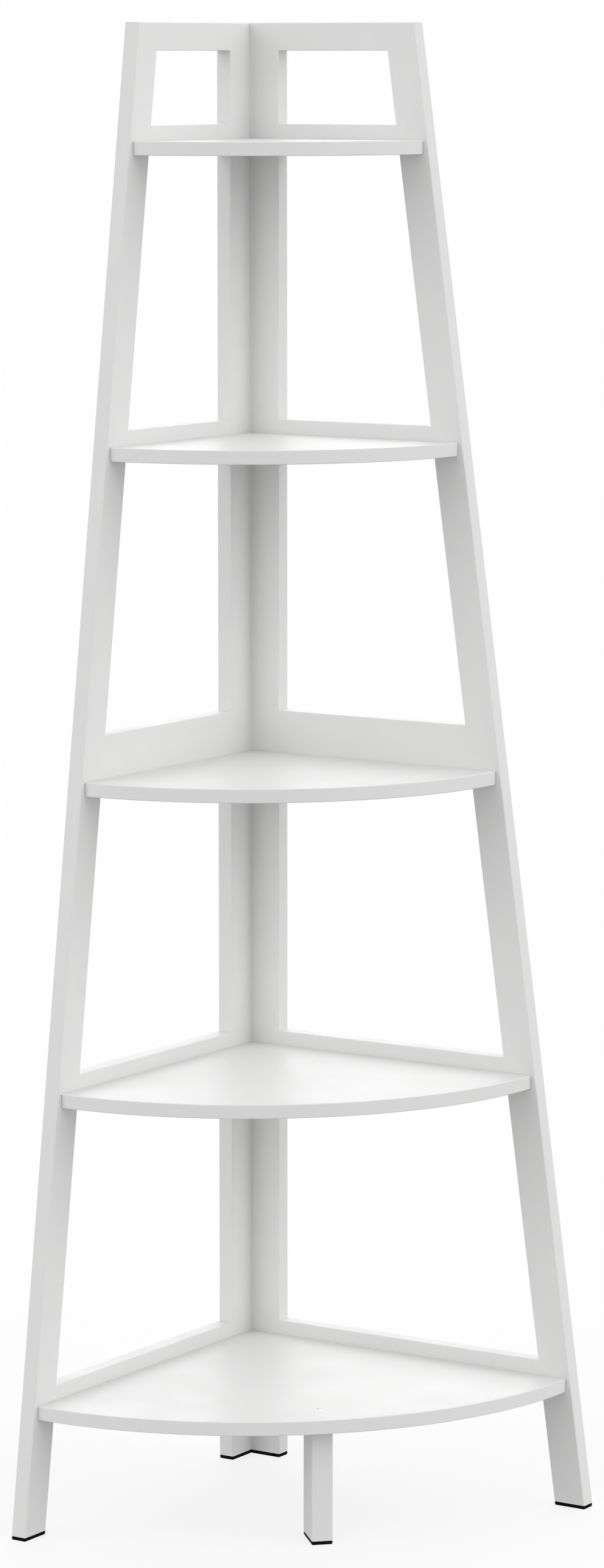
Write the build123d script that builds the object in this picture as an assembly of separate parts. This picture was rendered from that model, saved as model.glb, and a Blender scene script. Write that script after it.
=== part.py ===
from build123d import *
import math
import os

os.makedirs("parts", exist_ok=True)

# Corner ladder shelf, in millimetres. +Z is up and z = 0 is the floor. The two room walls are the
# planes x = -FOOT_DEPTH / 2 and y = +FOOT_DEPTH / 2, and the shelves open towards +X and -Y.
# "out" is the distance from a wall corner along one of the two side frames.

# Overall sizes
HEIGHT = 1600.0  # floor to the top of the side frames
FOOT_DEPTH = 452.0  # wall corner to the toe of a front leg
TOP_DEPTH = 228.5  # wall corner to the top of a front leg

# Side frames: painted boards, doweled and glued edge to edge
FRAME_BOARD = 18.0  # thickness of the frame boards
POST_WIDTH = 37.5  # rear post, as seen from inside the corner
LEG_WIDTH = 37.5  # front leg, measured level
TOP_RAIL_HEIGHT = 30.0
RAIL_HEIGHT = 31.0  # every other rail
TOP_BAY = 79.0  # clear height under the top rail
UPPER_BAY = 290.5  # clear height of each bay of the upper frame
LOWEST_BAY = 299.0  # clear height over the lowest rail
FLOOR_GAP = 127.5  # floor to the underside of the lowest rail and shelf
ARRIS = 0.8  # bevel sanded on the edges that a hand can reach

# Shelves
SHELF_BOARD = 15.0
SHELF_SETBACK = 5.0  # a shelf's front corner stands this far behind the leg's front edge
SHELF_ARRIS = 1.0  # rounding of a shelf's curved edge and of its two front corners

# Middle leg under the lowest shelf
PROP_WIDTH = 22.5  # across the view from the front
PROP_DEPTH = 44.0  # front to back
PROP_SETBACK = 27.5  # from the shelf's curved edge to the front of the leg

# Foot pads
PAD_THICKNESS = 4.0
PAD_INSET = 0.4
PAD_CORNER = 1.0

# Dowels: 6 mm in the frame joints and over the middle leg, 8 mm between the two storeys
DOWEL_RADIUS = 3.0
DOWEL_LENGTH = 24.0
DOWEL_PITCH = 16.0  # two dowels in each rail end, one above the other
DOWEL_CHAMFER = 0.6
PROP_DOWEL_PITCH = 28.0  # the two dowels on top of the middle leg
PROP_DOWEL_BITE = 10.0  # how far those go up into the shelf
STOREY_DOWEL_RADIUS = 4.0
STOREY_DOWEL_LENGTH = 40.0
DOWEL_WEB = 3.0  # wood left between crossing dowels

# Countersunk cross-head screws
SCREW_RADIUS = 2.0
SCREW_HEAD_RADIUS = 4.0
SCREW_HEAD_DEPTH = 2.4
SCREW_TIP = 4.0
SCREW_CLEARANCE = 0.2  # round the shank, in the board that is held
SHORT_SCREW = 40.0
LONG_SCREW = 50.0
HEAD_RECESS = 0.3  # how far a head lies below the face
CROSS_LENGTH = 4.4
CROSS_WIDTH = 0.9
CROSS_DEPTH = 1.5
SHELF_SCREW_INSET = 30.0  # from the end of a rail to the shelf screw
RAIL_SCREW_INSET = 60.0  # from the end of a rail to the screw between the storeys

# Directions
INTO_ROOM = (0, -1, 0)  # away from the wall behind the right frame
UP = (0, 0, 1)
DOWN = (0, 0, -1)
ALONG_RAIL = (1, 0, 0)

OVERCUT = 2.0  # how far a cutting shape runs past the face that it cuts

# Worked out from the sizes above
OUT_OF_CENTRE = FOOT_DEPTH / 2
POST_FRONT = FRAME_BOARD + POST_WIDTH  # "out" of a rear post's front edge
BOARD_MIDDLE = FRAME_BOARD / 2
SEAM = HEIGHT - TOP_RAIL_HEIGHT - 3 * RAIL_HEIGHT - TOP_BAY - 2 * UPPER_BAY  # between the two storeys
LOWER_BAY = SEAM - FLOOR_GAP - LOWEST_BAY - 3 * RAIL_HEIGHT  # clear height over rail 4

# Underside of each rail, from the top down
UPPER_RAILS = {
    "top_rail": HEIGHT - TOP_RAIL_HEIGHT,
    "rail_1": HEIGHT - TOP_RAIL_HEIGHT - TOP_BAY - RAIL_HEIGHT,
    "rail_2": SEAM + RAIL_HEIGHT + UPPER_BAY,
    "upper_middle_rail": SEAM,
}
LOWER_RAILS = {
    "lower_middle_rail": SEAM - RAIL_HEIGHT,
    "rail_4": FLOOR_GAP + RAIL_HEIGHT + LOWEST_BAY,
    "rail_5": FLOOR_GAP,
}

# A shelf's underside is level with the underside of the rails that hold it
SHELVES = {
    "shelf_1": UPPER_RAILS["rail_1"],
    "shelf_2": UPPER_RAILS["rail_2"],
    "shelf_3": LOWER_RAILS["lower_middle_rail"],
    "shelf_4": LOWER_RAILS["rail_4"],
    "shelf_5": LOWER_RAILS["rail_5"],
}


def rail_height(name):
    """Height of a rail, by its name in one of the two lists above."""
    return TOP_RAIL_HEIGHT if name == "top_rail" else RAIL_HEIGHT


def leg_front(z):
    """How far out the sloping front edge of a leg is at height z."""
    rise = (z - PAD_THICKNESS) / (HEIGHT - PAD_THICKNESS)
    return FOOT_DEPTH - (FOOT_DEPTH - TOP_DEPTH) * rise


def leg_back(z):
    """How far out the inner, sloping edge of a leg is at height z."""
    return leg_front(z) - LEG_WIDTH


def on_right(out, depth, z):
    """A point of the right frame: depth is measured in from the wall."""
    return Vector(out - OUT_OF_CENTRE, OUT_OF_CENTRE - depth, z)


def to_left(piece):
    """The same piece on the left frame, mirrored about the bisector of the corner."""
    return mirror(piece, about=Plane(origin=(0, 0, 0), z_dir=(1, 1, 0)))


def on_side(side, piece):
    """A piece made for the right frame, moved to the side that it is for."""
    if side == "left":
        return to_left(piece)
    return piece


def board(corners, near=0.0, far=FRAME_BOARD):
    """A flat board on the right frame from its (out, z) corners, between two depths."""
    face_plane = Plane(origin=on_right(0, near, 0), x_dir=(1, 0, 0), z_dir=(0, -1, 0))
    outline = face_plane * make_face(Polyline(*corners, close=True))
    return extrude(outline, amount=far - near)


def rod(start, direction, radius, length, chamfer_size=0.0):
    """A round rod from a point along a direction."""
    plane = Plane(origin=start, z_dir=direction)
    piece = extrude(plane * Circle(radius), amount=length)
    if chamfer_size:
        piece = chamfer(piece.edges().filter_by(GeomType.CIRCLE), chamfer_size)
    return piece


def write(node, piece):
    """Write one node, as one solid or as a group of separate solids."""
    solids = piece.solids()
    shape = solids[0] if len(solids) == 1 else Compound(children=solids)
    shape.label = node
    export_step(shape, "parts/" + node + ".step")


# ---- Screws ----------------------------------------------------------------------------------


def screw(head, direction, length):
    """A countersunk screw whose head's top is at a point, pointing along a direction."""
    profile = Polyline(
        (0, 0),
        (SCREW_HEAD_RADIUS, 0),
        (SCREW_RADIUS, SCREW_HEAD_DEPTH),
        (SCREW_RADIUS, length - SCREW_TIP),
        (0, length),
        close=True,
    )
    turned = revolve(Plane.XZ * make_face(profile), Axis.Z)
    cross = Box(CROSS_LENGTH, CROSS_WIDTH, 2 * CROSS_DEPTH) + Box(CROSS_WIDTH, CROSS_LENGTH, 2 * CROSS_DEPTH)
    return Plane(origin=head, z_dir=direction) * (turned - cross)


def screw_hole(head, direction, length, held):
    """What a screw takes out of the boards: held is the thickness of the board under its head."""
    plane = Plane(origin=head, z_dir=direction)
    hole_radius = SCREW_RADIUS + SCREW_CLEARANCE
    cone_depth = SCREW_HEAD_DEPTH * (SCREW_HEAD_RADIUS - hole_radius) / (SCREW_HEAD_RADIUS - SCREW_RADIUS)
    profile = Polyline(
        (0, -HEAD_RECESS),
        (SCREW_HEAD_RADIUS, -HEAD_RECESS),
        (SCREW_HEAD_RADIUS, 0),
        (hole_radius, cone_depth),
        (hole_radius, held - HEAD_RECESS),
        (SCREW_RADIUS, held - HEAD_RECESS),
        (SCREW_RADIUS, length - SCREW_TIP),
        (0, length),
        close=True,
    )
    return plane * revolve(Plane.XZ * make_face(profile), Axis.Z)


def shelf_screw_outs(underside):
    """How far out the two screws are that hold a shelf to one frame."""
    return POST_FRONT + SHELF_SCREW_INSET, leg_back(underside) - SHELF_SCREW_INSET


def rail_screw_outs():
    """How far out the two screws are that hold the upper storey to the lower one."""
    return POST_FRONT + RAIL_SCREW_INSET, leg_back(SEAM) - RAIL_SCREW_INSET


def bay_middles():
    """Heights of the screws between the two rear posts, in the middle of the open bays."""
    upper = UPPER_RAILS["rail_2"] + RAIL_HEIGHT + UPPER_BAY / 2
    middle = SEAM + RAIL_HEIGHT + UPPER_BAY / 2
    lower = LOWER_RAILS["rail_4"] + RAIL_HEIGHT + LOWER_BAY / 2
    lowest = FLOOR_GAP + RAIL_HEIGHT + LOWEST_BAY / 2
    return upper, middle, lower, lowest


def shelf_screw_places():
    """Head points of every shelf screw of the right frame."""
    places = []
    for underside in SHELVES.values():
        for out in shelf_screw_outs(underside):
            places.append(on_right(out, HEAD_RECESS, underside + SHELF_BOARD / 2))
    return places


def corner_screw_places():
    """Head points of the screws through the right rear post into the left one."""
    return [on_right(BOARD_MIDDLE, HEAD_RECESS, z) for z in bay_middles()]


def rail_screw_places():
    """Head points, on the underside of the lower middle rail, of the screws up into the upper one."""
    underside = SEAM - RAIL_HEIGHT + HEAD_RECESS
    return [on_right(out, BOARD_MIDDLE, underside) for out in rail_screw_outs()]


def prop_middle(radius):
    """Middle of the leg under the lowest shelf, on the bisector of the corner."""
    reach = radius - PROP_SETBACK - PROP_DEPTH / 2
    step = reach * math.sqrt(0.5)
    return on_right(FRAME_BOARD + step, FRAME_BOARD + step, 0)


def shelf_radius(underside):
    """A shelf is a quarter disc: its curved edge stays just behind the sloping legs."""
    return leg_front(underside + SHELF_BOARD) - FRAME_BOARD - SHELF_SETBACK


# ---- Dowels ----------------------------------------------------------------------------------


def rail_dowels(rails):
    """Two dowels at each end of each rail, half in the rail and half in the post or leg."""
    dowels = []
    for name, underside in rails.items():
        for lift in (-DOWEL_PITCH / 2, DOWEL_PITCH / 2):
            z = underside + rail_height(name) / 2 + lift
            for joint in (POST_FRONT, leg_back(z)):
                start = on_right(joint - DOWEL_LENGTH / 2, BOARD_MIDDLE, z)
                dowels.append(rod(start, ALONG_RAIL, DOWEL_RADIUS, DOWEL_LENGTH, DOWEL_CHAMFER))
    return dowels


def storey_dowels():
    """A dowel in the rear post and one in the front leg, from the lower storey up into the upper."""
    inset = DOWEL_LENGTH / 2 + DOWEL_WEB + STOREY_DOWEL_RADIUS
    start_z = SEAM - STOREY_DOWEL_LENGTH / 2
    dowels = []
    for out in (POST_FRONT - inset, leg_back(SEAM) + inset):
        start = on_right(out, BOARD_MIDDLE, start_z)
        dowels.append(rod(start, UP, STOREY_DOWEL_RADIUS, STOREY_DOWEL_LENGTH, DOWEL_CHAMFER))
    return dowels


def prop_dowels():
    """Two dowels, one each side of the screw, that stop the middle leg turning."""
    middle = prop_middle(shelf_radius(SHELVES["shelf_5"]))
    bottom = SHELVES["shelf_5"] + PROP_DOWEL_BITE - DOWEL_LENGTH
    dowels = []
    for step in (-PROP_DOWEL_PITCH / 2, PROP_DOWEL_PITCH / 2):
        shift = step * math.sqrt(0.5)
        start = Vector(middle.X + shift, middle.Y - shift, bottom)
        dowels.append(rod(start, UP, DOWEL_RADIUS, DOWEL_LENGTH, DOWEL_CHAMFER))
    return dowels


# ---- Side frames -----------------------------------------------------------------------------


def windows(rails, low, high):
    """The open bays between the rails of one storey, as pairs of heights."""
    undersides = sorted(rails.values())
    bays = []
    if undersides[0] > low:
        bays.append((low, undersides[0]))
    for below, above in zip(undersides, undersides[1:]):
        bays.append((below + RAIL_HEIGHT, above))
    return bays


def storey(rear, low, high, rails):
    """One storey of the right frame in one piece: outline, windows and sanded edges."""
    outline = [(rear, low), (leg_front(low), low), (leg_front(high), high), (rear, high)]
    plate = board(outline)
    for bottom, top in windows(rails, low, high):
        window = [(POST_FRONT, bottom), (leg_back(bottom), bottom), (leg_back(top), top), (POST_FRONT, top)]
        plate = plate - board(window, -OVERCUT, FRAME_BOARD + OVERCUT)
    return chamfer(reachable_edges(plate, rear, low, high), ARRIS)


def reachable_edges(plate, rear, low, high):
    """The edges of both faces that are sanded: not those glued, butted or hidden by a pad."""
    near = 0.01
    chosen = []
    for edge in plate.edges():
        start, end = edge @ 0, edge @ 1
        middle = edge @ 0.5
        out = middle.X + OUT_OF_CENTRE
        across = abs(start.Y - end.Y) > near
        on_floor_or_seam = middle.Z < low + near or (middle.Z > high - near and high < HEIGHT)
        butted = out < rear + near and (rear > 0 or middle.Y < OUT_OF_CENTRE - near)
        if not (across or on_floor_or_seam or butted):
            chosen.append(edge)
    return chosen


def split_storey(plate, low, high, rails):
    """Cut a storey along its joints into post, leg and rails."""
    post_zone = [(-OVERCUT, low), (POST_FRONT, low), (POST_FRONT, high), (-OVERCUT, high)]
    leg_zone = [(leg_back(low), low), (leg_front(low) + OVERCUT, low)]
    leg_zone += [(leg_front(high) + OVERCUT, high), (leg_back(high), high)]
    pieces = {
        "post": plate & board(post_zone, -OVERCUT, FRAME_BOARD + OVERCUT),
        "leg": plate & board(leg_zone, -OVERCUT, FRAME_BOARD + OVERCUT),
    }
    for name, underside in rails.items():
        bottom = max(underside - OVERCUT, low)
        top = min(underside + rail_height(name) + OVERCUT, high)
        zone = [(POST_FRONT, bottom), (leg_back(bottom), bottom), (leg_back(top), top), (POST_FRONT, top)]
        pieces[name] = plate & board(zone, -OVERCUT, FRAME_BOARD + OVERCUT)
    return pieces


def side_frame(side):
    """Every board of one side frame, bored for its dowels and screws, by node name."""
    rear = 0.0 if side == "right" else FRAME_BOARD
    bored = rail_dowels(UPPER_RAILS) + rail_dowels(LOWER_RAILS) + storey_dowels()
    for head in shelf_screw_places():
        bored.append(screw_hole(head, INTO_ROOM, SHORT_SCREW, FRAME_BOARD))
    for head in rail_screw_places():
        bored.append(screw_hole(head, UP, LONG_SCREW, RAIL_HEIGHT))
    for head in corner_screw_places():
        hole = screw_hole(head, INTO_ROOM, SHORT_SCREW, FRAME_BOARD)
        bored.append(hole if side == "right" else to_left(hole))
    boards = {}
    for prefix, low, high, rails in (
        ("upper", SEAM, HEIGHT, UPPER_RAILS),
        ("lower", PAD_THICKNESS, SEAM, LOWER_RAILS),
    ):
        pieces = split_storey(storey(rear, low, high, rails), low, high, rails)
        for name, piece in pieces.items():
            node = side + "_" + (prefix + "_" + name if name in ("post", "leg") else name)
            boards[node] = on_side(side, cut_where_near(piece, bored))
    return boards


def cut_where_near(piece, tools):
    """Cut away only the tools whose box meets the piece's box."""
    box = piece.bounding_box()
    for tool in tools:
        reach = tool.bounding_box()
        apart_x = reach.max.X < box.min.X or reach.min.X > box.max.X
        apart_y = reach.max.Y < box.min.Y or reach.min.Y > box.max.Y
        apart_z = reach.max.Z < box.min.Z or reach.min.Z > box.max.Z
        if not (apart_x or apart_y or apart_z):
            piece = piece - tool
    return piece


# ---- Shelves and the middle leg --------------------------------------------------------------


def shelf(underside):
    """A quarter disc between the two frames, rounded along its curved edge and at its front corners."""
    radius = shelf_radius(underside)
    corner = on_right(FRAME_BOARD, FRAME_BOARD, underside)
    disc = Cylinder(radius, SHELF_BOARD, align=(Align.CENTER, Align.CENTER, Align.MIN))
    block = Box(radius, radius, SHELF_BOARD, align=(Align.MIN, Align.MAX, Align.MIN))
    plate = disc & block
    front_corners = plate.edges().filter_by(Axis.Z).sort_by(lambda edge: edge.center().length)[-2:]
    plate = fillet(front_corners, SHELF_ARRIS)
    curved = plate.edges().filter_by(GeomType.CIRCLE)
    return Pos(corner.X, corner.Y, corner.Z) * fillet(curved, SHELF_ARRIS)


def shelf_with_holes(underside):
    """A shelf drilled for the screws of both frames."""
    holes = []
    for head in shelf_screw_places():
        hole = screw(head, INTO_ROOM, SHORT_SCREW)
        holes.append(hole)
        holes.append(to_left(hole))
    return cut_where_near(shelf(underside), holes)


def prop_block(radius, low, high, inset=0.0):
    """A block on the bisector, square to it, the section of the middle leg."""
    middle = prop_middle(radius)
    plane = Plane(origin=(middle.X, middle.Y, low), x_dir=(1, -1, 0), z_dir=(0, 0, 1))
    section = plane * Rectangle(PROP_DEPTH - 2 * inset, PROP_WIDTH - 2 * inset)
    return extrude(section, amount=high - low)


def prop_screw_head():
    """Top of the head of the screw down through the lowest shelf into the middle leg."""
    middle = prop_middle(shelf_radius(SHELVES["shelf_5"]))
    return Vector(middle.X, middle.Y, SHELVES["shelf_5"] + SHELF_BOARD - HEAD_RECESS)


# ---- Foot pads -------------------------------------------------------------------------------


def foot_pad(rear, front):
    """A pad under one foot of the right frame, a little smaller than the foot."""
    corners = [
        (rear + PAD_INSET, 0),
        (front - PAD_INSET, 0),
        (front - PAD_INSET, PAD_THICKNESS),
        (rear + PAD_INSET, PAD_THICKNESS),
    ]
    pad = board(corners, PAD_INSET, FRAME_BOARD - PAD_INSET)
    return fillet(pad.edges().filter_by(Axis.Z), PAD_CORNER)


# ---- Put together and write ------------------------------------------------------------------

FLOOR_RADIUS = shelf_radius(SHELVES["shelf_5"])

for side in ("left", "right"):
    for node, piece in side_frame(side).items():
        write(node, piece)
    pins = rail_dowels(UPPER_RAILS) + rail_dowels(LOWER_RAILS)
    write(side + "_frame_dowels", Compound(children=[on_side(side, pin) for pin in pins]))
    pins = storey_dowels()
    write(side + "_storey_dowels", Compound(children=[on_side(side, pin) for pin in pins]))
    heads = [screw(head, INTO_ROOM, SHORT_SCREW) for head in shelf_screw_places()]
    write(side + "_shelf_screws", Compound(children=[on_side(side, item) for item in heads]))
    heads = [screw(head, UP, LONG_SCREW) for head in rail_screw_places()]
    write(side + "_storey_screws", Compound(children=[on_side(side, item) for item in heads]))
    rear_start = 0.0 if side == "right" else FRAME_BOARD
    write(side + "_rear_pad", on_side(side, foot_pad(rear_start, POST_FRONT)))
    toe = leg_front(PAD_THICKNESS)
    write(side + "_front_pad", on_side(side, foot_pad(toe - LEG_WIDTH, toe)))

corner_screws = [screw(head, INTO_ROOM, SHORT_SCREW) for head in corner_screw_places()]
write("corner_screws", Compound(children=corner_screws))

prop_screw = screw(prop_screw_head(), DOWN, LONG_SCREW)
prop_hole = screw_hole(prop_screw_head(), DOWN, LONG_SCREW, SHELF_BOARD)
for node, underside in SHELVES.items():
    piece = shelf_with_holes(underside)
    if node == "shelf_5":
        piece = cut_where_near(piece, [prop_hole] + prop_dowels())
    write(node, piece)

prop = prop_block(FLOOR_RADIUS, PAD_THICKNESS, SHELVES["shelf_5"])
prop = chamfer(prop.edges().filter_by(Axis.Z), ARRIS)
write("middle_leg", cut_where_near(prop, [prop_hole] + prop_dowels()))
pad = prop_block(FLOOR_RADIUS, 0, PAD_THICKNESS, PAD_INSET)
write("middle_pad", fillet(pad.edges().filter_by(Axis.Z), PAD_CORNER))
write("middle_leg_screw", prop_screw)
write("middle_leg_dowels", Compound(children=prop_dowels()))
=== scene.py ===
import math

import bmesh
import bpy
from mathutils import Matrix, Vector


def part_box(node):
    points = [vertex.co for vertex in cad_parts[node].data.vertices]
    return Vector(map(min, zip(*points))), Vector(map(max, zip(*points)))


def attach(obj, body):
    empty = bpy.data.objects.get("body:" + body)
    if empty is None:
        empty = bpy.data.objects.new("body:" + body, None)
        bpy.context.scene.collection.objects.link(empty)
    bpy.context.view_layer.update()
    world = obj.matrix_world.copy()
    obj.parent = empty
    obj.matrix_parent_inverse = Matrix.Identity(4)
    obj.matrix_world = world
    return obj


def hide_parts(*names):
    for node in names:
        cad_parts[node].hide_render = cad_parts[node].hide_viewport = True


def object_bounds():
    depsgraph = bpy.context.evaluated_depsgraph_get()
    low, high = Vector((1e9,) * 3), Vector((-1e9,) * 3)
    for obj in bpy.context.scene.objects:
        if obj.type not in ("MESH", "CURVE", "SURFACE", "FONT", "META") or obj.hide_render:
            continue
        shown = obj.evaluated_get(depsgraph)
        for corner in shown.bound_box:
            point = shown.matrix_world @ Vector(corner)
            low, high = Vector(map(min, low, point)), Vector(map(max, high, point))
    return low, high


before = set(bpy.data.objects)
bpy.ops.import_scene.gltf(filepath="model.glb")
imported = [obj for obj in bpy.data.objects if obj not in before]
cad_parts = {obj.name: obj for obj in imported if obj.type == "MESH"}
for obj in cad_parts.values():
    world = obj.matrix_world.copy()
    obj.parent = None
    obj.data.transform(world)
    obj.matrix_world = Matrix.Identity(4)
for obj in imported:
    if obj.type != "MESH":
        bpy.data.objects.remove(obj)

CAD_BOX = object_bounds()
MM = 0.001

# ---- Side frames -----------------------------------------------------------------------------
# Two open frames, each in two storeys: posts, legs and rails cut from 18 mm medium-density
# fibreboard. They are doweled and glued edge to edge, sanded as one and then sprayed with satin
# white lacquer, so the joints don't show and every edge that a hand can reach is slightly eased.


def linear(hex_colour):
    """An sRGB hex colour as the linear colour that a shader takes."""
    channels = [int(hex_colour[i:i + 2], 16) / 255 for i in (1, 3, 5)]
    return [c / 12.92 if c <= 0.04045 else ((c + 0.055) / 1.055) ** 2.4 for c in channels] + [1.0]


def add(tree, kind, settings=None, links=None):
    """Add a node, set its sockets or properties, and link (node, output) pairs to its inputs."""
    node = tree.nodes.new(kind)
    for name, value in (settings or {}).items():
        if isinstance(name, str) and hasattr(node, name):
            setattr(node, name, value)
        else:
            node.inputs[name].default_value = value
    for name, (source, output) in (links or {}).items():
        tree.links.new(source.outputs[output], node.inputs[name])
    return node


# Sockets of a Mix node, which go by number because several share a name
MIX_FACTOR = 0
FLOAT_A, FLOAT_B, FLOAT_OUT = 2, 3, 0
COLOUR_A, COLOUR_B, COLOUR_OUT = 6, 7, 2


def start_material(name):
    """An empty node material, its tree and its output node."""
    material = bpy.data.materials.new(name)
    material.use_nodes = True
    tree = material.node_tree
    tree.nodes.clear()
    return material, tree, tree.nodes.new("ShaderNodeOutputMaterial")


def per_metre(size_mm):
    """Pattern scale, in cells to the metre, for a detail of that size."""
    return 1000.0 / size_mm


# Satin lacquer, sprayed over sanded primer. The eye sees an even, soft white: the coat's fine
# orange peel breaks up reflections, a dust nib stands up here and there, and the sheen and the
# tone drift a little where the spray went on thicker.
SHEEN_DRIFT = 0.06  # of roughness, up and down
NIB_SIZE = 0.6  # mm across, for a speck of dust under the last coat
NIB_SPACING = 25  # mm from one to the next


def sprayed_lacquer(name, thick, thin, sheen):
    material, tree, out = start_material(name)
    place = add(tree, "ShaderNodeTexCoord")
    # Passes of the spray gun, about 70 mm apart
    coat = add(tree, "ShaderNodeTexNoise", {"Scale": per_metre(70), "Detail": 3.0, "Roughness": 0.55},
               {"Vector": (place, "Object")})
    tone = add(tree, "ShaderNodeMix", {"data_type": "RGBA", COLOUR_A: linear(thick), COLOUR_B: linear(thin)},
               {MIX_FACTOR: (coat, "Fac")})
    gloss = add(tree, "ShaderNodeMapRange", {"From Min": 0.3, "From Max": 0.7,
                                             "To Min": sheen - SHEEN_DRIFT, "To Max": sheen + SHEEN_DRIFT},
                {"Value": (coat, "Fac")})
    # Orange peel is about 0.8 mm across on lacquer this thin, drawn at 1.6 mm so that it shows
    peel = add(tree, "ShaderNodeTexNoise", {"Scale": per_metre(1.6), "Detail": 2.0, "Roughness": 0.5},
               {"Vector": (place, "Object")})
    dust = add(tree, "ShaderNodeTexVoronoi", {"Scale": per_metre(NIB_SPACING)},
               {"Vector": (place, "Object")})
    nib = add(tree, "ShaderNodeMapRange", {"From Min": 0.0, "From Max": NIB_SIZE / NIB_SPACING / 2,
                                           "To Min": 1.5, "To Max": 0.0}, {"Value": (dust, "Distance")})
    height = add(tree, "ShaderNodeMath", {"operation": "ADD"}, {0: (peel, "Fac"), 1: (nib, "Result")})
    bump = add(tree, "ShaderNodeBump", {"Strength": 0.3, "Distance": 0.05 * MM},
               {"Height": (height, "Value")})
    shader = add(tree, "ShaderNodeBsdfPrincipled", {"IOR": 1.5, "Specular IOR Level": 0.4},
                 {"Base Color": (tone, COLOUR_OUT), "Roughness": (gloss, "Result"),
                  "Normal": (bump, "Normal")})
    tree.links.new(shader.outputs["BSDF"], out.inputs["Surface"])
    return material


def coat_nodes(names, material):
    """Give CAD boards, whose shape is already right, their finish."""
    for name in names:
        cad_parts[name].data.materials.clear()
        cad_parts[name].data.materials.append(material)


FRAME_WHITE = sprayed_lacquer("sprayed_lacquer_on_frame_board", "#E5E5E4", "#E1E1E1", 0.49)
BOARDS = ["upper_post", "upper_leg", "top_rail", "rail_1", "rail_2", "upper_middle_rail"]
BOARDS += ["lower_post", "lower_leg", "lower_middle_rail", "rail_4", "rail_5"]
coat_nodes([side + "_" + board for side in ("left", "right") for board in BOARDS], FRAME_WHITE)

# ---- Dowels ----------------------------------------------------------------------------------
# Beech pins turned round, pressed with glue flutes and bevelled at both ends. Two hold each rail
# end to its post or leg, two line up the storeys of each frame, and two stop the middle leg turning.

FLUTES = 16
FLUTE_DEPTH = 0.22 * MM
DOWEL_BEVEL = 0.6 * MM
MERGE = 0.001 * MM
SHARP_ANGLE = math.radians(35)  # edges steeper than this stay sharp


def solids_of(node):
    """The lowest and highest corner of each separate solid in a CAD node."""
    copy = bmesh.new()
    copy.from_mesh(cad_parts[node].data)
    bmesh.ops.remove_doubles(copy, verts=copy.verts, dist=MERGE)
    boxes = []
    waiting = set(copy.verts)
    while waiting:
        solid = [waiting.pop()]
        for vert in solid:
            beside = {edge.other_vert(vert) for edge in vert.link_edges} & waiting
            waiting -= beside
            solid.extend(beside)
        low = Vector([min(vert.co[i] for vert in solid) for i in range(3)])
        high = Vector([max(vert.co[i] for vert in solid) for i in range(3)])
        boxes.append((low, high))
    copy.free()
    return sorted(boxes, key=lambda box: tuple(box[0]))


def rods_of(node, direction):
    """The length and radius that a node's dowels or screws share, and the point where each starts."""
    way = Vector(direction)
    boxes = solids_of(node)
    low, high = boxes[0]
    length = abs((high - low).dot(way))
    radius = (sum(high - low) - length) / 4
    return length, radius, [(low + high) / 2 - way * length / 2 for low, high in boxes]


def copies(pattern, starts, direction):
    """Copies of a shape made along +Z, each moved to a start point and turned along a direction."""
    stored = bpy.data.meshes.new("pattern")
    pattern.to_mesh(stored)
    pattern.free()
    turn = Vector((0, 0, 1)).rotation_difference(Vector(direction)).to_matrix().to_4x4()
    group = bmesh.new()
    for start in starts:
        before = len(group.verts)
        group.from_mesh(stored)
        group.verts.ensure_lookup_table()
        new = group.verts[before:]
        bmesh.ops.transform(group, matrix=Matrix.Translation(start) @ turn, verts=new)
    bpy.data.meshes.remove(stored)
    return group


def finish_piece(shape, name, material, node):
    """Make a mesh a named piece that rides with the shelf and stands for its CAD node."""
    bmesh.ops.recalc_face_normals(shape, faces=shape.faces)
    mesh = bpy.data.meshes.new(name)
    shape.to_mesh(mesh)
    shape.free()
    mesh.polygons.foreach_set("use_smooth", [True] * len(mesh.polygons))
    mesh.set_sharp_from_angle(angle=SHARP_ANGLE)
    mesh.materials.append(material)
    piece = bpy.data.objects.new(name, mesh)
    bpy.context.scene.collection.objects.link(piece)
    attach(piece, "root")
    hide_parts(node)


def keep_own_place(shape):
    """Store where each point is on the piece before it is moved, for a grain that follows it."""
    own = shape.verts.layers.float_vector.new("own_place")
    for vert in shape.verts:
        vert[own] = vert.co


def fluted_dowel(radius, length):
    """A dowel up +Z with shallow flutes, closed and bevelled at both ends."""
    shape = bmesh.new()
    bmesh.ops.create_circle(shape, segments=2 * FLUTES, radius=radius)
    for groove in list(shape.verts)[::2]:
        bmesh.ops.scale(shape, vec=[1 - FLUTE_DEPTH / radius] * 2 + [1], verts=[groove])
    eased = (radius - DOWEL_BEVEL) / radius
    ring = list(shape.edges)
    bmesh.ops.scale(shape, vec=(eased, eased, 1), verts=shape.verts)
    for rise, size in ((DOWEL_BEVEL, 1 / eased), (length - 2 * DOWEL_BEVEL, 1), (DOWEL_BEVEL, eased)):
        made = bmesh.ops.extrude_edge_only(shape, edges=ring)["geom"]
        ring = [item for item in made if isinstance(item, bmesh.types.BMEdge)]
        top = [item for item in made if isinstance(item, bmesh.types.BMVert)]
        bmesh.ops.translate(shape, vec=(0, 0, rise), verts=top)
        bmesh.ops.scale(shape, vec=(size, size, 1), verts=top)
    bmesh.ops.holes_fill(shape, edges=shape.edges, sides=0)
    keep_own_place(shape)
    return shape


# Bare beech, turned and pressed. The eye sees a pale, warm pink-brown wood of even, fine grain
# that runs along the pin, with the short dark flecks that tell beech from birch.
BEECH, tree, out = start_material("turned_bare_beech")
grain_place = add(tree, "ShaderNodeAttribute", {"attribute_name": "own_place"})
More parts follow.
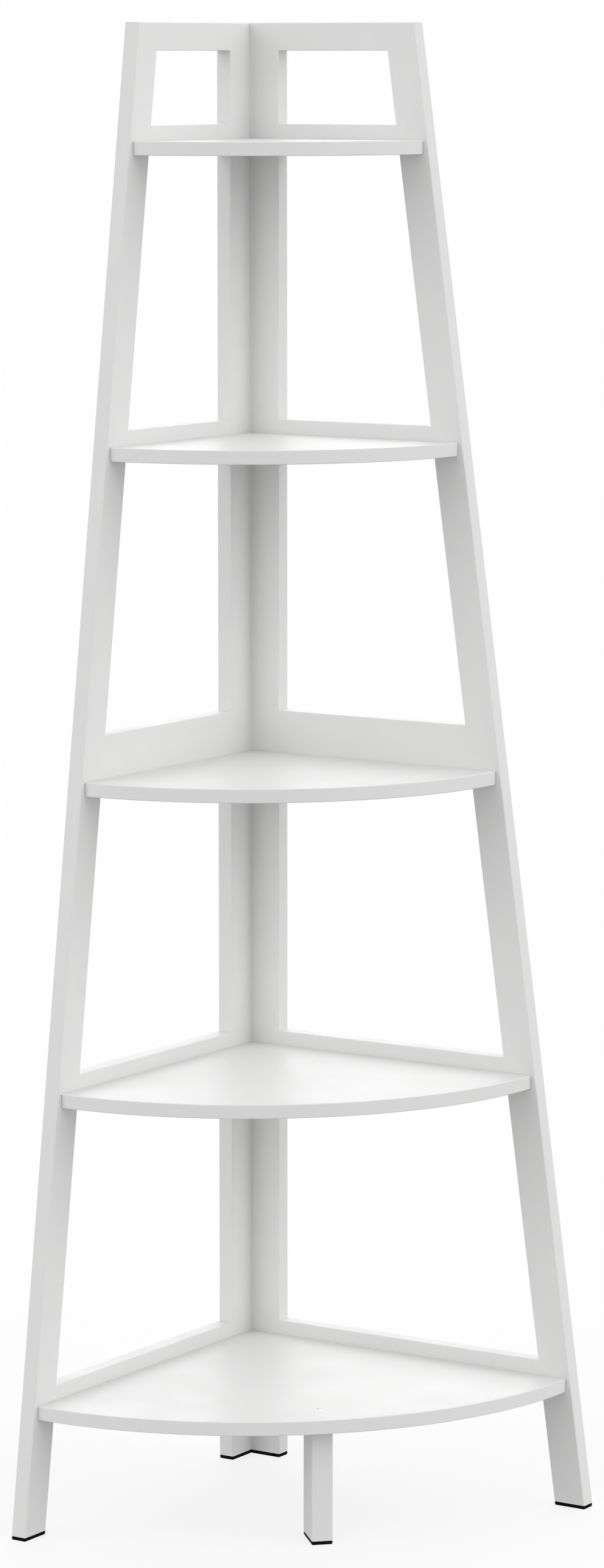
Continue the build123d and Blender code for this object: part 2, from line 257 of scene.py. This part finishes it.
# Growth lines about 1.2 mm apart, running the length of the pin
along = add(tree, "ShaderNodeMapping", {"Scale": (1, 1, 0.06)}, {"Vector": (grain_place, "Vector")})
lines = add(tree, "ShaderNodeTexNoise", {"Scale": per_metre(1.2), "Detail": 4.0, "Roughness": 0.6,
                                         "Distortion": 0.4}, {"Vector": (along, "Vector")})
wood = add(tree, "ShaderNodeMix", {"data_type": "RGBA", COLOUR_A: linear("#DDBE93"),
                                   COLOUR_B: linear("#C39A69")}, {MIX_FACTOR: (lines, "Fac")})
# Flecks of 0.4 mm by 3 mm
fleck_place = add(tree, "ShaderNodeMapping", {"Scale": (1, 1, 0.13)}, {"Vector": (grain_place, "Vector")})
flecks = add(tree, "ShaderNodeTexVoronoi", {"Scale": per_metre(1.4)}, {"Vector": (fleck_place, "Vector")})
fleck = add(tree, "ShaderNodeMapRange", {"From Min": 0.14, "From Max": 0.22, "To Min": 0.55, "To Max": 0.0},
            {"Value": (flecks, "Distance")})
flecked = add(tree, "ShaderNodeMix", {"data_type": "RGBA", COLOUR_B: linear("#8F6238")},
              {MIX_FACTOR: (fleck, "Result"), COLOUR_A: (wood, COLOUR_OUT)})
dry = add(tree, "ShaderNodeMapRange", {"To Min": 0.58, "To Max": 0.74}, {"Value": (lines, "Fac")})
pores = add(tree, "ShaderNodeBump", {"Strength": 0.4, "Distance": 0.08 * MM}, {"Height": (lines, "Fac")})
shader = add(tree, "ShaderNodeBsdfPrincipled", {"IOR": 1.5, "Specular IOR Level": 0.3},
             {"Base Color": (flecked, COLOUR_OUT), "Roughness": (dry, "Result"),
              "Normal": (pores, "Normal")})
tree.links.new(shader.outputs["BSDF"], out.inputs["Surface"])

DOWELS = {
    "left_frame_dowels": (0, 1, 0),
    "right_frame_dowels": (1, 0, 0),
    "left_storey_dowels": (0, 0, 1),
    "right_storey_dowels": (0, 0, 1),
    "middle_leg_dowels": (0, 0, 1),
}
for node, direction in DOWELS.items():
    length, radius, starts = rods_of(node, direction)
    dowels = copies(fluted_dowel(radius, length), starts, direction)
    finish_piece(dowels, "fluted_" + node, BEECH, node)

# ---- Screws ----------------------------------------------------------------------------------
# Countersunk chipboard screws of zinc-plated steel, with a cross recess, a plain neck and a coarse
# rolled thread. They hold the shelves to the frames, the frames to each other, the upper storey to
# the lower one, and the lowest shelf to its middle leg.

SCREW_SIDES = 24
THREAD_PITCH = 1.8 * MM
THREAD_STEPS = 18  # to one turn
THREAD_HALF_WIDTH = 0.22  # of the pitch, at the root of the ridge
THREAD_ROOT = 0.95  # share of the core's radius, so that the ridge starts inside the core
THREAD_END = 0.6  # the ridge's size at its ends, where it sinks into the core
RIM_HEIGHT = 0.3 * MM
RECESS_SPAN = 4.4 * MM
RECESS_WIDTH = 0.9 * MM
RECESS_DEPTH = 1.5 * MM
RECESS_TAPER = 0.55  # size of the recess at its bottom
TIP_LENGTH = 4.0 * MM
# Shares of the head's radius
HEAD_HEIGHT = 0.6
NECK_RADIUS = 0.45
CORE_RADIUS = 0.36
THREAD_RADIUS = 0.5
NECK_LENGTH = 0.3  # share of the screw's length, head and all


def turned_body(shape, length, head_radius):
    """The head without its top, the neck, the core of the thread and the point, spun round +Z."""
    neck = NECK_RADIUS * head_radius
    core = CORE_RADIUS * head_radius
    neck_end = NECK_LENGTH * length
    outline = [(head_radius, 0), (head_radius, RIM_HEIGHT)]
    outline += [(neck, HEAD_HEIGHT * head_radius), (neck, neck_end)]
    outline += [(core, neck_end + (neck - core)), (core, length - TIP_LENGTH), (0, length)]
    points = [shape.verts.new((across, 0, down)) for across, down in outline]
    sides = [shape.edges.new(pair) for pair in zip(points, points[1:])]
    bmesh.ops.spin(shape, geom=points + sides, cent=(0, 0, 0), axis=(0, 0, 1), angle=math.tau,
                   steps=SCREW_SIDES, use_merge=True)
    bmesh.ops.remove_doubles(shape, verts=shape.verts, dist=MERGE)


def cross_recess(shape):
    """The flat top of the head, with a tapered cross pressed into it."""
    rim = [edge for edge in shape.edges if edge.is_boundary]
    grid = bmesh.ops.create_grid(shape, x_segments=3, y_segments=3, size=RECESS_SPAN / 2)["verts"]
    for vert in grid:
        for i in (0, 1):
            if abs(vert.co[i]) < RECESS_SPAN / 3:
                vert.co[i] = math.copysign(RECESS_WIDTH / 2, vert.co[i])
    tiles = {face for vert in grid for face in vert.link_faces}
    corners = [tile for tile in tiles if min(map(abs, tile.calc_center_median()[:2])) > RECESS_WIDTH / 2]
    cross = list(tiles - set(corners))
    bmesh.ops.delete(shape, geom=corners, context="FACES")
    inner = [edge for edge in shape.edges if edge.is_boundary and edge not in rim]
    bmesh.ops.triangle_fill(shape, edges=rim + inner, use_beauty=True)
    pressed = bmesh.ops.extrude_face_region(shape, geom=cross)["geom"]
    bottom = [item for item in pressed if isinstance(item, bmesh.types.BMVert)]
    bmesh.ops.delete(shape, geom=[face for face in cross if face.is_valid], context="FACES_ONLY")
    bmesh.ops.translate(shape, vec=(0, 0, RECESS_DEPTH), verts=bottom)
    bmesh.ops.scale(shape, vec=(RECESS_TAPER, RECESS_TAPER, 1), verts=bottom)


def rolled_thread(shape, length, head_radius):
    """A ridge that winds round the core, and sinks into it at both ends."""
    root = THREAD_ROOT * CORE_RADIUS * head_radius
    first = NECK_LENGTH * length + THREAD_PITCH
    steps = int((length - TIP_LENGTH - first) / THREAD_PITCH * THREAD_STEPS)
    ridge = [(root, -THREAD_HALF_WIDTH), (THREAD_RADIUS * head_radius, 0), (root, THREAD_HALF_WIDTH)]
    points = [shape.verts.new((across, 0, first + turn * THREAD_PITCH)) for across, turn in ridge]
    sides = [shape.edges.new((points[i - 1], points[i])) for i in range(3)]
    last = bmesh.ops.spin(shape, geom=points + sides, cent=(0, 0, 0), axis=(0, 0, 1),
                          dvec=(0, 0, THREAD_PITCH / THREAD_STEPS), steps=steps,
                          angle=math.tau * steps / THREAD_STEPS)["geom_last"]
    ends = points + [item for item in last if isinstance(item, bmesh.types.BMVert)]
    bmesh.ops.scale(shape, vec=(THREAD_END, THREAD_END, 1), verts=ends)
    open_ends = [edge for edge in shape.edges if edge.is_boundary]
    bmesh.ops.holes_fill(shape, edges=open_ends, sides=3)


def chipboard_screw(length, head_radius):
    """A screw down +Z from the middle of the top of its head."""
    shape = bmesh.new()
    turned_body(shape, length, head_radius)
    cross_recess(shape)
    rolled_thread(shape, length, head_radius)
    return shape


# Mild steel, cold-headed, thread-rolled and bright zinc plated. The eye sees a cool, slightly
# cloudy silver, darker in the recess and between the threads, where less light gets in.
ZINC, tree, out = start_material("bright_zinc_plated_steel")
place = add(tree, "ShaderNodeTexCoord")
# Clouding of the plating, 3 mm across
cloud = add(tree, "ShaderNodeTexNoise", {"Scale": per_metre(3), "Detail": 4.0, "Roughness": 0.6},
            {"Vector": (place, "Object")})
plate = add(tree, "ShaderNodeMix", {"data_type": "RGBA", COLOUR_A: linear("#D3D6D8"),
                                    COLOUR_B: linear("#BDBEBB")}, {MIX_FACTOR: (cloud, "Fac")})
dull = add(tree, "ShaderNodeMapRange", {"From Min": 0.3, "From Max": 0.7, "To Min": 0.28, "To Max": 0.44},
           {"Value": (cloud, "Fac")})
# Crystals of the plating are some hundredths of a millimetre, drawn at 0.3 mm so that they show
crystals = add(tree, "ShaderNodeTexVoronoi", {"Scale": per_metre(0.3)}, {"Vector": (place, "Object")})
grit = add(tree, "ShaderNodeBump", {"Strength": 0.15, "Distance": 0.02 * MM},
           {"Height": (crystals, "Distance")})
shader = add(tree, "ShaderNodeBsdfPrincipled", {"Metallic": 1.0},
             {"Base Color": (plate, COLOUR_OUT), "Roughness": (dull, "Result"),
              "Normal": (grit, "Normal")})
tree.links.new(shader.outputs["BSDF"], out.inputs["Surface"])

SCREWS = {
    "left_shelf_screws": (1, 0, 0),
    "right_shelf_screws": (0, -1, 0),
    "corner_screws": (0, -1, 0),
    "left_storey_screws": (0, 0, 1),
    "right_storey_screws": (0, 0, 1),
    "middle_leg_screw": (0, 0, -1),
}
for node, direction in SCREWS.items():
    length, head_radius, heads = rods_of(node, direction)
    screws = copies(chipboard_screw(length, head_radius), heads, direction)
    finish_piece(screws, "threaded_" + node, ZINC, node)

# ---- Shelves and middle leg ------------------------------------------------------------------
# Five quarter-round shelves of 15 mm fibreboard with a slightly rounded front edge. Screws through
# the frames hold them from outside. The lowest one also rests on a short leg: a screw goes down into
# it through the shelf, and two dowels stop it turning.

SHELF_WHITE = sprayed_lacquer("sprayed_lacquer_on_shelf_board", "#E5E5E5", "#E2E2E1", 0.46)
coat_nodes(["shelf_1", "shelf_2", "shelf_3", "shelf_4", "shelf_5"], SHELF_WHITE)
coat_nodes(["middle_leg"], FRAME_WHITE)

# ---- Foot pads -------------------------------------------------------------------------------
# Five pads of black closed-cell foam rubber, die-cut from 4 mm sheet and stuck under the posts,
# the legs and the middle leg. The weight on them makes their sides swell slightly.

PAD_EASE = 0.3 * MM
PAD_SWELL = 0.25 * MM
PAD_RINGS = 4  # bands that the height of the side is cut into
FLAT = math.radians(1)  # faces that meet at less than this are made one

# Foam rubber, skived and die-cut. The eye sees a deep, matt black with fine pits, a shade greyer
# where a cut cell catches the light.
FOAM, tree, out = start_material("die_cut_foam_rubber")
place = add(tree, "ShaderNodeTexCoord")
# Cells are about 0.3 mm, drawn at 0.7 mm so that they show
cells = add(tree, "ShaderNodeTexVoronoi", {"Scale": per_metre(0.7)}, {"Vector": (place, "Object")})
# Dust lies on it in patches of about 12 mm
dusty = add(tree, "ShaderNodeTexNoise", {"Scale": per_metre(12), "Detail": 3.0},
            {"Vector": (place, "Object")})
# The rims of the cut cells are painted a shade greyer: a painted highlight for the light that they catch
black = add(tree, "ShaderNodeMix", {"data_type": "RGBA", COLOUR_A: linear("#080808"),
                                    COLOUR_B: linear("#141413")}, {MIX_FACTOR: (cells, "Distance")})
matt = add(tree, "ShaderNodeMapRange", {"To Min": 0.78, "To Max": 0.95}, {"Value": (dusty, "Fac")})
pits = add(tree, "ShaderNodeBump", {"Strength": 0.6, "Distance": 0.12 * MM},
           {"Height": (cells, "Distance")})
shader = add(tree, "ShaderNodeBsdfPrincipled", {"IOR": 1.5, "Specular IOR Level": 0.06},
             {"Base Color": (black, COLOUR_OUT), "Roughness": (matt, "Result"),
              "Normal": (pits, "Normal")})
tree.links.new(shader.outputs["BSDF"], out.inputs["Surface"])


def swollen_pad(node):
    """A pad with its cut rims eased and its sides bulged, from a merged copy of its CAD solid."""
    low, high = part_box(node)
    shape = bmesh.new()
    shape.from_mesh(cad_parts[node].data)
    bmesh.ops.remove_doubles(shape, verts=shape.verts, dist=MERGE)
    bmesh.ops.dissolve_limit(shape, angle_limit=FLAT, verts=shape.verts, edges=shape.edges)
    rims = [edge for edge in shape.edges if abs(edge.verts[0].co.z - edge.verts[1].co.z) < MERGE]
    bmesh.ops.bevel(shape, geom=rims, offset=PAD_EASE, affect="EDGES", segments=3, profile=0.5,
                    material=-1)
    height = high.z - low.z
    for ring in range(1, PAD_RINGS):
        level = low.z + PAD_EASE + (height - 2 * PAD_EASE) * ring / PAD_RINGS
        everything = list(shape.verts) + list(shape.edges) + list(shape.faces)
        cut = bmesh.ops.bisect_plane(shape, geom=everything, plane_co=(0, 0, level), plane_no=(0, 0, 1))
        shape.normal_update()
        swell = PAD_SWELL * math.sin(math.pi * (level - low.z) / height)
        for vert in {item for item in cut["geom_cut"] if isinstance(item, bmesh.types.BMVert)}:
            outwards = Vector((vert.normal.x, vert.normal.y, 0)).normalized()
            vert.co += outwards * swell
    return shape


for node in ("left_rear_pad", "left_front_pad", "right_rear_pad", "right_front_pad", "middle_pad"):
    finish_piece(swollen_pad(node), "foam_" + node, FOAM, node)

# ---- Floor and light -------------------------------------------------------------------------
# A plain, pale studio floor that runs on out of view, under large soft lights all round. It glows
# evenly like a light table, so that only a faint shadow shows, and the light that it would throw up
# is given by the light from below.

scene = bpy.context.scene
scene.view_settings.view_transform = "Standard"

FLOOR_HALF = 30.0
FLOOR_GLOW = 0.77
sheet = bmesh.new()
bmesh.ops.create_grid(sheet, x_segments=1, y_segments=1, size=FLOOR_HALF)
floor_mesh = bpy.data.meshes.new("studio_floor")
sheet.to_mesh(floor_mesh)
sheet.free()
floor = bpy.data.objects.new("studio_floor", floor_mesh)
scene.collection.objects.link(floor)
LIT_FLOOR, tree, out = start_material("matt_acrylic_light_table")
shader = add(tree, "ShaderNodeBsdfPrincipled", {"Roughness": 0.9, "Base Color": linear("#7B7B7B"),
                                                "Specular IOR Level": 0.0, "Emission Strength": FLOOR_GLOW,
                                                "Emission Color": linear("#FFFFFF")})
tree.links.new(shader.outputs["BSDF"], out.inputs["Surface"])
floor_mesh.materials.append(LIT_FLOOR)
floor.visible_diffuse = False
floor.visible_glossy = False
floor.visible_transmission = False
floor.visible_shadow = False

# Three equal soft lights 120 degrees apart: one 60 degrees to each side of the camera and one behind
# the shelf. A weaker one fills in from behind on the right, and one from below stands for the
# floor's bounce.
RING_HEIGHT = 25
RING_STRENGTH = 2.75
FILL_STRENGTH = 0.75
BOUNCE_STRENGTH = 1.1
BACKDROP_STRENGTH = 1.24
WIDE, WIDEST = 4, 2  # how tightly a light gathers: the lower, the wider
# Azimuth and height in degrees, how tightly it gathers, and its strength
SOFT_LIGHTS = [(azimuth, RING_HEIGHT, WIDE, RING_STRENGTH) for azimuth in (93, 213, 333)]
SOFT_LIGHTS += [(153, RING_HEIGHT, WIDE, FILL_STRENGTH), (0, -90, WIDEST, BOUNCE_STRENGTH)]


def towards(azimuth, elevation):
    """The way from the shelf to a place at that azimuth and height, azimuth 0 being -Y."""
    level = math.cos(math.radians(elevation))
    turn = math.radians(azimuth)
    return Vector((math.sin(turn) * level, -math.cos(turn) * level, math.sin(math.radians(elevation))))


world = bpy.data.worlds.new("soft_studio")
scene.world = world
world.use_nodes = True
tree = world.node_tree
tree.nodes.clear()
out = tree.nodes.new("ShaderNodeOutputWorld")
sky_place = add(tree, "ShaderNodeTexCoord")
total = None
for azimuth, elevation, gather, strength in SOFT_LIGHTS:
    facing = add(tree, "ShaderNodeVectorMath", {"operation": "DOT_PRODUCT", 1: towards(azimuth, elevation)},
                 {0: (sky_place, "Generated")})
    front = add(tree, "ShaderNodeMath", {"operation": "MAXIMUM", 1: 0.0}, {0: (facing, "Value")})
    glow = add(tree, "ShaderNodeMath", {"operation": "POWER", 1: gather}, {0: (front, "Value")})
    lit = add(tree, "ShaderNodeMath", {"operation": "MULTIPLY", 1: strength}, {0: (glow, "Value")})
    if total is None:
        total = lit
    else:
        total = add(tree, "ShaderNodeMath", {"operation": "ADD"}, {0: (total, "Value"), 1: (lit, "Value")})
# The camera itself sees an even, pale backdrop in every direction
path = add(tree, "ShaderNodeLightPath")
seen = add(tree, "ShaderNodeMix", {"data_type": "FLOAT", FLOAT_B: BACKDROP_STRENGTH},
           {MIX_FACTOR: (path, "Is Camera Ray"), FLOAT_A: (total, "Value")})
sky = add(tree, "ShaderNodeBackground", {}, {"Strength": (seen, FLOAT_OUT)})
tree.links.new(sky.outputs["Background"], out.inputs["Surface"])

# ---- Camera ----------------------------------------------------------------------------------
# A long lens a little above the middle of the shelf, in front of its open side.

VIEW_AZIMUTH = 33.1
VIEW_ELEVATION = 7.83
VIEW_DISTANCE = 5.607
AIM_SHIFT = Vector((-0.4, -5.8, 3.3)) * MM  # off the middle of the shelf
low, high = Vector(CAD_BOX[0]), Vector(CAD_BOX[1])
aim = (low + high) / 2 + AIM_SHIFT
lens = bpy.data.cameras.new("camera")
lens.lens = 122.0
lens.sensor_width = 36.0
camera = bpy.data.objects.new("camera", lens)
camera.location = aim + towards(VIEW_AZIMUTH, VIEW_ELEVATION) * VIEW_DISTANCE
camera.rotation_euler = (math.radians(90 - VIEW_ELEVATION), 0, math.radians(VIEW_AZIMUTH))
scene.collection.objects.link(camera)
scene.camera = camera
